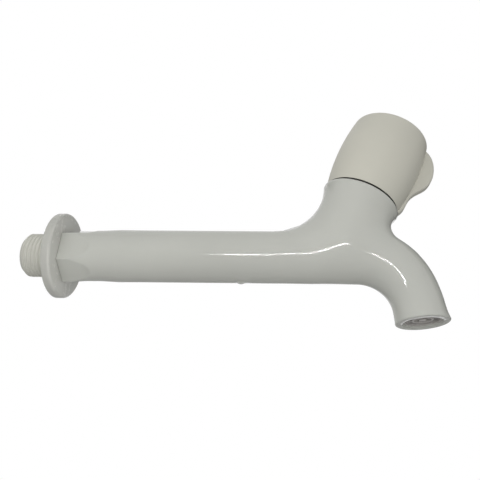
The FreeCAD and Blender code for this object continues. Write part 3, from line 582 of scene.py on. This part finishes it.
lens = bpy.data.cameras.new("camera")
lens.sensor_width = 36
lens.sensor_fit = "HORIZONTAL"
lens.lens = FOCAL_PX / FRAME_PX * 36
lens.shift_x = (FRAME_PX / 2 - CENTRE_PX[0]) / FRAME_PX
lens.shift_y = (CENTRE_PX[1] - FRAME_PX / 2) / FRAME_PX
lens.clip_start = 0.01
lens.clip_end = 20
camera = linked("camera", lens)
turn = Matrix((CAMERA_RIGHT, -CAMERA_DOWN, -CAMERA_FORWARD)).transposed()
camera.matrix_world = Matrix.Translation(CAMERA_PLACE) @ turn.to_4x4()
bpy.context.scene.camera = camera

# White surroundings for the camera and for reflections, a plain soft level of light for everything else
FILL_STRENGTH = 0.39

world = bpy.data.worlds.new("studio")
bpy.context.scene.world = world
world.use_nodes = True
sky = world.node_tree
sky.nodes.clear()
path = add(sky, "ShaderNodeLightPath")
seen = add(sky, "ShaderNodeMath", operation="MAXIMUM")
sky.links.new(path.outputs["Is Camera Ray"], seen.inputs[0])
sky.links.new(path.outputs["Is Glossy Ray"], seen.inputs[1])
seen_too = add(sky, "ShaderNodeMath", operation="MAXIMUM")
sky.links.new(seen.outputs[0], seen_too.inputs[0])
sky.links.new(path.outputs["Is Transmission Ray"], seen_too.inputs[1])
fill = add(sky, "ShaderNodeBackground", Color=(1, 1, 1, 1), Strength=FILL_STRENGTH)
white = add(sky, "ShaderNodeBackground", Color=(1, 1, 1, 1), Strength=1.0)
choice = add(sky, "ShaderNodeMixShader")
sky.links.new(seen_too.outputs[0], choice.inputs[0])
sky.links.new(fill.outputs[0], choice.inputs[1])
sky.links.new(white.outputs[0], choice.inputs[2])
out = add(sky, "ShaderNodeOutputWorld")
sky.links.new(choice.outputs[0], out.inputs["Surface"])

# Plain pale floor well below the tap
FLOOR_RADIUS = 4.0
FLOOR_PLACE = (0.08, 0, -0.17)

floor_mesh = bpy.data.meshes.new("floor")
work = bmesh.new()
bmesh.ops.create_circle(work, cap_ends=True, segments=96, radius=FLOOR_RADIUS)
work.to_mesh(floor_mesh)
work.free()
floor = linked("floor", floor_mesh)
floor.location = FLOOR_PLACE
floor_material, floor_tree, floor_shader = new_material("floor_pale")
floor_shader.inputs["Roughness"].default_value = 0.9
floor_shader.inputs["Specular IOR Level"].default_value = 0.1
grain = ramp(floor_tree, noise(floor_tree, 6, 2.0), 0, 1)
floor_colour = mixed_colour(floor_tree, grain, (0.93, 0.93, 0.93), (0.91, 0.91, 0.91))
floor_tree.links.new(floor_colour, floor_shader.inputs["Base Color"])
floor_mesh.materials.append(floor_material)


def lamp(name, place, target, width, height, power):
    """Rectangular white lamp that faces a point and isn't seen by the camera."""
    data = bpy.data.lights.new(name, "AREA")
    data.shape = "RECTANGLE"
    data.size = width
    data.size_y = height
    data.energy = power
    obj = linked(name, data)
    obj.location = place
    obj.rotation_euler = (Vector(target) - Vector(place)).to_track_quat("-Z", "Y").to_euler()
    obj.visible_camera = False
    return obj


def light_only(source, name, pieces):
    """Lets a lamp light only the given pieces."""
    group = bpy.data.collections.get(name) or bpy.data.collections.new(name)
    for piece in pieces:
        if piece.name not in group.objects:
            group.objects.link(piece)
    source.light_linking.receiver_collection = group


# Soft lamps: name, place, target, size, power and spread in degrees
CENTRE = Vector((0.09, 0, 0.01))
SOFT_LAMPS = [
    ("key", (-0.6, -0.7, 0.75), CENTRE, 0.7, 2.5, 180),
    ("front", (0.0, -1.0, 0.05), CENTRE, 0.7, 1.1, 180),
    ("top", (0.10, -0.1, 1.0), CENTRE, 0.8, 0.6, 180),
    ("left", (-0.9, -0.2, 0.2), CENTRE, 0.6, 0.5, 180),
    ("right", (1.0, -0.3, 0.15), CENTRE, 0.6, 0.37, 180),
    ("near", (0.126, -0.30, -0.056), CENTRE, 0.12, 0.35, 180),
    ("flange_side", (0.13, -0.055, -0.035), (0.004, -0.02, -0.012), 0.03, 0.0020, 30),
]
TAP_ONLY = ("near", "flange_side")
for name, place, target, size, power, spread in SOFT_LAMPS:
    soft = lamp(name, place, target, size, size, power)
    soft.data.spread = math.radians(spread)
    soft.visible_glossy = False
    if name in TAP_ONLY:
        light_only(soft, "tap_lit", list(nodes.values()) + [body, thread, wrench])

# Row of small bright lamps whose reflection draws the thin line along the tube and spout
STRIP_LEFT = Vector((0.037, -0.269, -0.062))
STRIP_RIGHT = Vector((0.1953, -0.269, -0.0512))
STRIP_LAMPS = 20
STRIP_WIDE = 11
STRIP_FADED = 15
WIDE_LAMP = (0.0045, 0.005, 0.03)
NARROW_LAMP = (0.0022, 0.012, 0.024)
FADED_POWER = 0.014
FADE_IN = 0.25
for k in range(STRIP_LAMPS):
    place = STRIP_LEFT.lerp(STRIP_RIGHT, k / (STRIP_LAMPS - 1))
    width, height, power = WIDE_LAMP if k < STRIP_WIDE else NARROW_LAMP
    power *= min(1.0, FADE_IN + FADE_IN * k)
    if k > STRIP_FADED:
        power = FADED_POWER
    spot = lamp(f"strip_{k:02d}", place, (place.x, 0, place.z), width, height, power)
    spot.visible_diffuse = False
    light_only(spot, "strip_lit", [body, wrench])

# Black cards beside the tap, out of the picture and seen by the gloss only, which give it darker edges
CARD_BOTTOM = -0.16
CARD_TOP = 0.5
CARDS = (
    ("card_left", (-0.42, 0.0), (-0.33, 0.45)),
    ("card_right", (0.60, 0.0), (0.42, 0.45)),
)
card_material, card_tree, card_shader = new_material("card_black")
card_shader.inputs["Roughness"].default_value = 0.9
card_cloud = ramp(card_tree, noise(card_tree, 9), 0, 1)
card_colour = mixed_colour(card_tree, card_cloud, (0.02, 0.02, 0.02), (0.03, 0.03, 0.03))
card_tree.links.new(card_colour, card_shader.inputs["Base Color"])
for name, near, far in CARDS:
    corners = [(*near, CARD_BOTTOM), (*far, CARD_BOTTOM), (*far, CARD_TOP), (*near, CARD_TOP)]
    card_mesh = bpy.data.meshes.new(name)
    card_mesh.from_pydata(corners, [], [(0, 1, 2, 3)])
    card_mesh.materials.append(card_material)
    card = linked(name, card_mesh)
    card.visible_camera = False
    card.visible_diffuse = False
    card.visible_shadow = False
